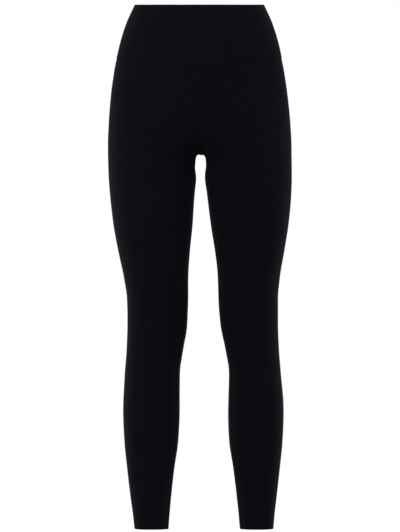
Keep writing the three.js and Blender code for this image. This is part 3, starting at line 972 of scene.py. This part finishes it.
def knit_height(nodes, links):
    """Height of a fine weft knit: columns of small slanted stitches, from the cloth's own UVs."""
    def calc(operation, *values):
        return math_node(nodes, links, operation, *values)

    uv = nodes.new("ShaderNodeUVMap")
    uv.uv_map = "cloth"
    parts = nodes.new("ShaderNodeSeparateXYZ")
    links.new(uv.outputs[0], parts.inputs[0])
    across = calc("DIVIDE", parts.outputs[0], WALE)
    off_middle = calc("ABSOLUTE", calc("SUBTRACT", calc("FRACT", across), 0.5))
    column = calc("ABSOLUTE", calc("SINE", calc("MULTIPLY", across, math.pi)))
    slanted = calc("ADD", calc("DIVIDE", parts.outputs[1], COURSE), off_middle)
    stitch = calc("SINE", calc("MULTIPLY", slanted, 2 * math.pi))
    return calc("ADD", calc("MULTIPLY", column, 1 - STITCH_SHARE), calc("MULTIPLY", stitch, STITCH_SHARE))


def noise_node(nodes, links, scale, detail):
    place = nodes.new("ShaderNodeTexCoord")
    noise = nodes.new("ShaderNodeTexNoise")
    set_inputs(noise, {"Scale": scale, "Detail": detail})
    links.new(place.outputs["Object"], noise.inputs["Vector"])
    return noise.outputs[0]


def ramp_node(nodes, links, value, *stops):
    """A colour for each value, from two stops of position and colour."""
    ramp = nodes.new("ShaderNodeValToRGB")
    for element, (position, colour) in zip(ramp.color_ramp.elements, stops):
        element.position = position
        element.color = (*colour, 1)
    links.new(value, ramp.inputs[0])
    return ramp.outputs[0]


def knit_material(name, colour):
    """Black knit, a little lighter and darker in places and from stitch to stitch."""
    material, nodes, links = node_material(name)
    shader = nodes["Principled BSDF"]
    set_inputs(shader, {
        "Roughness": 0.85, "Specular IOR Level": 0.022, "Specular Tint": (0.84, 0.82, 1.0, 1.0),
        "Sheen Weight": 0.02, "Sheen Roughness": 0.5, "Sheen Tint": (0.82, 0.78, 1.0, 1.0)})
    wide = noise_node(nodes, links, scale=9.0, detail=3.0)
    fine = noise_node(nodes, links, scale=900.0, detail=2.0)
    wide = math_node(nodes, links, "MULTIPLY", wide, 1 - FINE_SHARE)
    fine = math_node(nodes, links, "MULTIPLY", fine, FINE_SHARE)
    darker, lighter = ([c * (1 + way * MOTTLED) for c in colour] for way in (-1, 1))
    blend = math_node(nodes, links, "ADD", wide, fine)
    links.new(ramp_node(nodes, links, blend, (0.3, darker), (0.7, lighter)), shader.inputs["Base Color"])
    bump = nodes.new("ShaderNodeBump")
    set_inputs(bump, {"Strength": 0.5, "Distance": 0.12 * MM})
    links.new(knit_height(nodes, links), bump.inputs["Height"])
    links.new(bump.outputs[0], shader.inputs["Normal"])
    return material


def thread_material():
    material, nodes, links = node_material("black_thread")
    shader = nodes["Principled BSDF"]
    set_inputs(shader, {"Roughness": 0.7, "Specular IOR Level": 0.04})
    twist = noise_node(nodes, links, scale=2600.0, detail=2.0)
    colour = ramp_node(nodes, links, twist, (0.0, THREAD_BLACK[0]), (1.0, THREAD_BLACK[1]))
    links.new(colour, shader.inputs["Base Color"])
    return material


def floor_material():
    material, nodes, _ = node_material("pale_floor")
    set_inputs(nodes["Principled BSDF"], {
        "Base Color": (1, 1, 1, 1), "Roughness": 0.9, "Specular IOR Level": 0.1})
    return material


def dress(obj, material, slot, *nodes):
    """Gives a piece its material and slot, and the nodes that it stands for."""
    obj.data.materials.append(material)
    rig.ride(obj, "root")
    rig.slot(obj, slot)
    if nodes:
        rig.replaces(obj, *nodes)
    return obj


# Camera, light and floor

def make_camera():
    """The photograph's view: level, from straight ahead and from far away."""
    camera = bpy.data.objects.new("camera", bpy.data.cameras.new("camera"))
    camera.data.sensor_width = SENSOR
    camera.data.lens = SENSOR * CAMERA_AWAY / (PICTURE_HEIGHT * PIXEL)
    camera.data.clip_end = CLIP_END
    camera.location = (CENTRE_X, -CAMERA_AWAY, -CENTRE_DROP)
    camera.rotation_euler = (math.radians(90), 0, 0)
    bpy.context.scene.collection.objects.link(camera)
    bpy.context.scene.camera = camera


def area_light(name, place, aim, size, power):
    """A rectangle of light: its place, what it faces, its size in metres and its power in watts."""
    light = bpy.data.lights.new(name, "AREA")
    light.shape = "RECTANGLE"
    light.size, light.size_y = size
    light.energy = power
    obj = bpy.data.objects.new(name, light)
    obj.location = place
    obj.rotation_euler = (Vector(aim) - Vector(place)).to_track_quat("-Z", "Y").to_euler()
    bpy.context.scene.collection.objects.link(obj)


def make_world():
    """White light from above and from the sides, that falls off to none from straight below."""
    world = bpy.data.worlds.new("studio")
    world.use_nodes = True
    nodes, links = world.node_tree.nodes, world.node_tree.links
    direction = nodes.new("ShaderNodeTexCoord")
    height = nodes.new("ShaderNodeSeparateXYZ")
    fall = nodes.new("ShaderNodeMapRange")
    set_inputs(fall, {"From Min": DARK_BELOW, "From Max": WHITE_ABOVE})
    links.new(direction.outputs["Generated"], height.inputs[0])
    links.new(height.outputs["Z"], fall.inputs["Value"])
    links.new(fall.outputs["Result"], nodes["Background"].inputs["Color"])
    bpy.context.scene.world = world


def make_floor():
    """A pale floor that only the camera sees, so that the cloth's light from below is the world's."""
    half = FLOOR_SIZE / 2
    corners = [(x * half, y * half, 0) for x, y in ((-1, -1), (1, -1), (1, 1), (-1, 1))]
    mesh = bpy.data.meshes.new("floor")
    mesh.from_pydata(corners, [], [(0, 1, 2, 3)])
    mesh.materials.append(floor_material())
    floor = bpy.data.objects.new("floor", mesh)
    floor.location = (0, 0, -FLOOR_DROP)
    floor.visible_diffuse = False
    floor.visible_glossy = False
    bpy.context.scene.collection.objects.link(floor)
    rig.stage(floor)


def make_lights():
    area_light("key", (-1.3, -2.2, 0.1), (0, 0, -0.6), (1.1, 1.3), 24)
    area_light("fill", (1.5, -2.4, 0.2), (0, 0, -0.5), (1.3, 1.3), 8)
    for side in (-1, 1):
        area_light("low_side", (1.0 * side, 0.7, -0.8), (0, 0, -0.8), (0.4, 0.4), 2.2)


bpy.context.scene.view_settings.view_transform = "Standard"
make_camera()
make_world()
make_floor()
make_lights()

band_knit = knit_material("waistband_knit", BAND_BLACK)
leg_knit = knit_material("leg_knit", LEG_BLACK)
thread = thread_material()

waistband = dress(waistband_cloth(), band_knit, "waistband_knit", "waistband")
grid = leg_grid()
leg_left = dress(leg_cloth("leg_left_cloth", 1, grid), leg_knit, "leg_knit", "leg_left")
leg_right = dress(leg_cloth("leg_right_cloth", -1, grid), leg_knit, "leg_knit", "leg_right")
gusset = dress(gusset_cloth(), leg_knit, "gusset_knit", "gusset")
allowance = dress(waist_allowance(), leg_knit, "waistband_knit")

overlock = dress(thread_object("waistband_overlock", overlock_threads()), thread, "waistband_knit")
rise_groups = flatlock(rise_seam(-1), 1, FRONT_RISE_PRESSED) + flatlock(rise_seam(1), 1)
rises = dress(thread_object("rise_threads", rise_groups), thread, "leg_knit")
gusset_groups = []
for way in (-1, 1):
    gusset_groups += flatlock(gusset_seam(way), 1) + flatlock(gusset_seam(way), -1)
gusset_threads = dress(thread_object("gusset_threads", gusset_groups), thread, "gusset_knit")
leg_threads = {}
for word, side in (("left", 1), ("right", -1)):
    inseam = thread_object(f"inseam_threads_{word}", flatlock(inseam_seam(), side))
    hem = thread_object(f"hem_threads_{word}", hem_threads(side))
    leg_threads[word] = [dress(inseam, thread, "leg_knit"), dress(hem, thread, "leg_knit")]

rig.sheet(waistband, flat=(0.63, 0.215), held="stretched", with_pieces=[allowance, overlock])
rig.sheet(leg_left, flat=(0.50, 0.86), held="stretched", area=0.28,
         with_pieces=[*leg_threads["left"], rises])
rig.sheet(leg_right, flat=(0.50, 0.86), held="stretched", area=0.28, with_pieces=leg_threads["right"])
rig.sheet(gusset, flat=(0.135, 0.085), held="stretched", area=0.0058, with_pieces=[gusset_threads])

with open("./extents.json", "w") as f:
    json.dump({"cad": [list(c) for c in CAD_BOUNDS], "visual": [list(c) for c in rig.bounds()]}, f)
